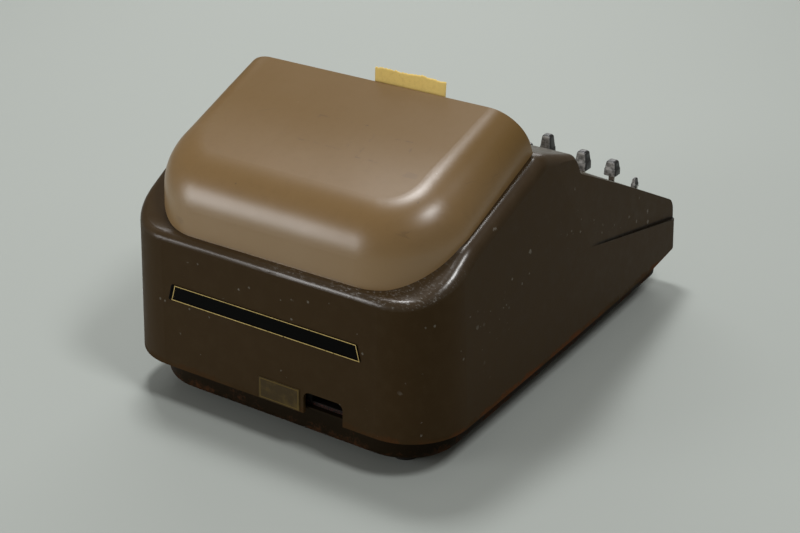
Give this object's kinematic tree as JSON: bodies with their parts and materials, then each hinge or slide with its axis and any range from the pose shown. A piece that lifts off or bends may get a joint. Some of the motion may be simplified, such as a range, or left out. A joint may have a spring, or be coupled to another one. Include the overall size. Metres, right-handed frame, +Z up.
{
  "type": "adding machine",
  "caption": "Desk adding machine: low bowed casing with a sloping keyboard, lift-off rounded hood over the printing works, paper tape, ribbon and a geared motor drive, on an inset base pan",
  "frame": {"origin": "on the table under the middle of the machine", "axes": "+Z up, +Y to the back with the name plate and inlet, the keyboard faces -Y, +X to the right of a person at the keyboard"},
  "size_m": [0.267, 0.3683, 0.23],
  "materials": {
    "casing_paint": "satin enamel, worn",
    "hood_paint": "semi-gloss enamel",
    "pan_paint": "dark enamel with rust",
    "rubber": "matte",
    "steel": "bright",
    "frame_steel": "zinc grey",
    "key_plastic": "moulded",
    "add_plastic": "moulded",
    "plate_black": "gloss with a brass edge",
    "plate_brass": "aged",
    "inlet_plastic": "moulded",
    "brass": "bright",
    "paper": "yellowed",
    "platen_rubber": "ground smooth",
    "ribbon_cloth": "inked",
    "motor_paint": "grey enamel"
  },
  "bodies": {
    "base": {"main_casing": "casing_paint", "base_pan": "pan_paint", "rubber_feet": "rubber", "foot_screws": "steel", "pan_screws": "steel", "left_side_frame": "frame_steel", "right_side_frame": "frame_steel", "tie_rods": "steel", "tie_rod_nuts": "steel", "keyboard_plate": "casing_paint", "key_guide_plate": "frame_steel", "guide_posts": "steel", "name_plate": "plate_black", "rating_plate": "plate_brass", "power_inlet": "inlet_plastic", "inlet_pins": "brass", "roll_spindle": "steel", "paper_tape": "paper", "paper_guide": "frame_steel", "platen_arms": "frame_steel", "ribbon_shelves": "frame_steel", "ribbon": "ribbon_cloth", "type_bar_guides": "frame_steel", "carriage_rails": "steel", "motor_housing": "motor_paint"},
    "hood": {"hood": "hood_paint", "tear_blade": "steel"},
    "key_0": {"key_0": "key_plastic"},
    "key_1": {"key_1": "key_plastic"},
    "key_2": {"key_2": "key_plastic"},
    "key_3": {"key_3": "key_plastic"},
    "key_4": {"key_4": "key_plastic"},
    "key_5": {"key_5": "key_plastic"},
    "key_6": {"key_6": "key_plastic"},
    "key_7": {"key_7": "key_plastic"},
    "key_8": {"key_8": "key_plastic"},
    "key_9": {"key_9": "key_plastic"},
    "non_add_key": {"non_add_key": "key_plastic"},
    "repeat_key": {"repeat_key": "key_plastic"},
    "correction_key": {"correction_key": "key_plastic"},
    "repeat_latch": {"repeat_latch": "key_plastic"},
    "total_key": {"total_key": "key_plastic"},
    "subtotal_key": {"subtotal_key": "key_plastic"},
    "subtract_key": {"subtract_key": "key_plastic"},
    "add_bar": {"add_bar": "add_plastic"},
    "platen": {"platen": "platen_rubber", "platen_shaft": "steel"},
    "paper_roll": {"paper_roll": "paper"},
    "pinch_rollers": {"pinch_rollers": "steel"},
    "ribbon_spool_left": {"ribbon_spool_left": "steel"},
    "ribbon_spool_right": {"ribbon_spool_right": "steel"},
    "type_bars": {"type_bars": "steel"},
    "number_wheels": {"number_wheels": "brass"},
    "pin_carriage": {"pin_carriage": "frame_steel"},
    "motor_rotor": {"motor_rotor": "frame_steel"},
    "idle_gears": {"idle_gear": "brass", "idle_pinion": "brass"},
    "main_drive": {"main_shaft": "steel", "drive_cams": "frame_steel", "main_gear": "brass"}
  },
  "joints": [
    {"name": "hood_lift", "type": "slide", "parent": "base", "child": "hood", "axis": [0, 0, 1], "range_m": [0, 0.09]},
    {"name": "key_0_press", "type": "slide", "parent": "base", "child": "key_0", "axis": [0, 0, -1], "range_m": [0, 0.0035], "stiffness_N_per_m": 220, "springref_m": -0.001},
    {"name": "key_1_press", "type": "slide", "parent": "base", "child": "key_1", "axis": [0, 0, -1], "range_m": [0, 0.0035], "stiffness_N_per_m": 220, "springref_m": -0.001},
    {"name": "key_2_press", "type": "slide", "parent": "base", "child": "key_2", "axis": [0, 0, -1], "range_m": [0, 0.0035], "stiffness_N_per_m": 220, "springref_m": -0.001},
    {"name": "key_3_press", "type": "slide", "parent": "base", "child": "key_3", "axis": [0, 0, -1], "range_m": [0, 0.0035], "stiffness_N_per_m": 220, "springref_m": -0.001},
    {"name": "key_4_press", "type": "slide", "parent": "base", "child": "key_4", "axis": [0, 0, -1], "range_m": [0, 0.0035], "stiffness_N_per_m": 220, "springref_m": -0.001},
    {"name": "key_5_press", "type": "slide", "parent": "base", "child": "key_5", "axis": [0, 0, -1], "range_m": [0, 0.0035], "stiffness_N_per_m": 220, "springref_m": -0.001},
    {"name": "key_6_press", "type": "slide", "parent": "base", "child": "key_6", "axis": [0, 0, -1], "range_m": [0, 0.0035], "stiffness_N_per_m": 220, "springref_m": -0.001},
    {"name": "key_7_press", "type": "slide", "parent": "base", "child": "key_7", "axis": [0, 0, -1], "range_m": [0, 0.0035], "stiffness_N_per_m": 220, "springref_m": -0.001},
    {"name": "key_8_press", "type": "slide", "parent": "base", "child": "key_8", "axis": [0, 0, -1], "range_m": [0, 0.0035], "stiffness_N_per_m": 220, "springref_m": -0.001},
    {"name": "key_9_press", "type": "slide", "parent": "base", "child": "key_9", "axis": [0, 0, -1], "range_m": [0, 0.0035], "stiffness_N_per_m": 220, "springref_m": -0.001},
    {"name": "non_add_key_press", "type": "slide", "parent": "base", "child": "non_add_key", "axis": [0, 0, -1], "range_m": [0, 0.0035], "stiffness_N_per_m": 220, "springref_m": -0.001},
    {"name": "repeat_key_press", "type": "slide", "parent": "base", "child": "repeat_key", "axis": [0, 0, -1], "range_m": [0, 0.0035], "stiffness_N_per_m": 220, "springref_m": -0.001},
    {"name": "correction_key_press", "type": "slide", "parent": "base", "child": "correction_key", "axis": [0, 0, -1], "range_m": [0, 0.0035], "stiffness_N_per_m": 220, "springref_m": -0.001},
    {"name": "repeat_latch_press", "type": "slide", "parent": "base", "child": "repeat_latch", "axis": [0, 0, -1], "range_m": [0, 0.0035], "stiffness_N_per_m": 220, "springref_m": -0.001},
    {"name": "total_key_press", "type": "slide", "parent": "base", "child": "total_key", "axis": [0, 0, -1], "range_m": [0, 0.0035], "stiffness_N_per_m": 220, "springref_m": -0.001},
    {"name": "subtotal_key_press", "type": "slide", "parent": "base", "child": "subtotal_key", "axis": [0, 0, -1], "range_m": [0, 0.0035], "stiffness_N_per_m": 220, "springref_m": -0.001},
    {"name": "subtract_key_press", "type": "slide", "parent": "base", "child": "subtract_key", "axis": [0, 0, -1], "range_m": [0, 0.0035], "stiffness_N_per_m": 220, "springref_m": -0.001},
    {"name": "add_bar_press", "type": "slide", "parent": "base", "child": "add_bar", "axis": [0, 0, -1], "range_m": [0, 0.0035], "stiffness_N_per_m": 220, "springref_m": -0.001},
    {"name": "platen_turn", "type": "hinge", "parent": "base", "child": "platen", "pos_m": [0, 0.052, 0.169], "axis": [1, 0, 0], "continuous": true},
    {"name": "paper_roll_turn", "type": "hinge", "parent": "base", "child": "paper_roll", "pos_m": [0, 0.118, 0.137], "axis": [1, 0, 0], "continuous": true},
    {"name": "pinch_turn", "type": "hinge", "parent": "base", "child": "pinch_rollers", "pos_m": [0, 0.03562, 0.15753], "axis": [1, 0, 0], "continuous": true},
    {"name": "ribbon_left_turn", "type": "hinge", "parent": "base", "child": "ribbon_spool_left", "pos_m": [-0.0835, 0.076, 0.164], "axis": [0, 0, 1], "continuous": true},
    {"name": "ribbon_right_turn", "type": "hinge", "parent": "base", "child": "ribbon_spool_right", "pos_m": [0.0313, 0.076, 0.164], "axis": [0, 0, 1], "continuous": true},
    {"name": "type_bar_rise", "type": "slide", "parent": "base", "child": "type_bars", "axis": [0, 0, 1], "range_m": [0, 0.024]},
    {"name": "number_wheel_turn", "type": "hinge", "parent": "base", "child": "number_wheels", "pos_m": [0, 0.008, 0.113], "axis": [1, 0, 0], "continuous": true},
    {"name": "carriage_step", "type": "slide", "parent": "base", "child": "pin_carriage", "axis": [1, 0, 0], "range_m": [-0.04, 0]},
    {"name": "motor_turn", "type": "hinge", "parent": "base", "child": "motor_rotor", "pos_m": [0, 0.112, 0.05], "axis": [1, 0, 0], "continuous": true},
    {"name": "idle_turn", "type": "hinge", "parent": "base", "child": "idle_gears", "pos_m": [0, 0.07753, 0.05608], "axis": [1, 0, 0], "continuous": true},
    {"name": "main_turn", "type": "hinge", "parent": "base", "child": "main_drive", "pos_m": [0, 0.03395, 0.05226], "axis": [1, 0, 0], "continuous": true}
  ],
  "couplings": [
    {"joint": "paper_roll_turn", "follows": "platen_turn", "ratio": 0.46667},
    {"joint": "pinch_turn", "follows": "platen_turn", "ratio": -2.8},
    {"joint": "ribbon_right_turn", "follows": "ribbon_left_turn", "ratio": 1},
    {"joint": "idle_turn", "follows": "motor_turn", "ratio": -0.33333},
    {"joint": "main_turn", "follows": "motor_turn", "ratio": 0.083333}
  ]
}
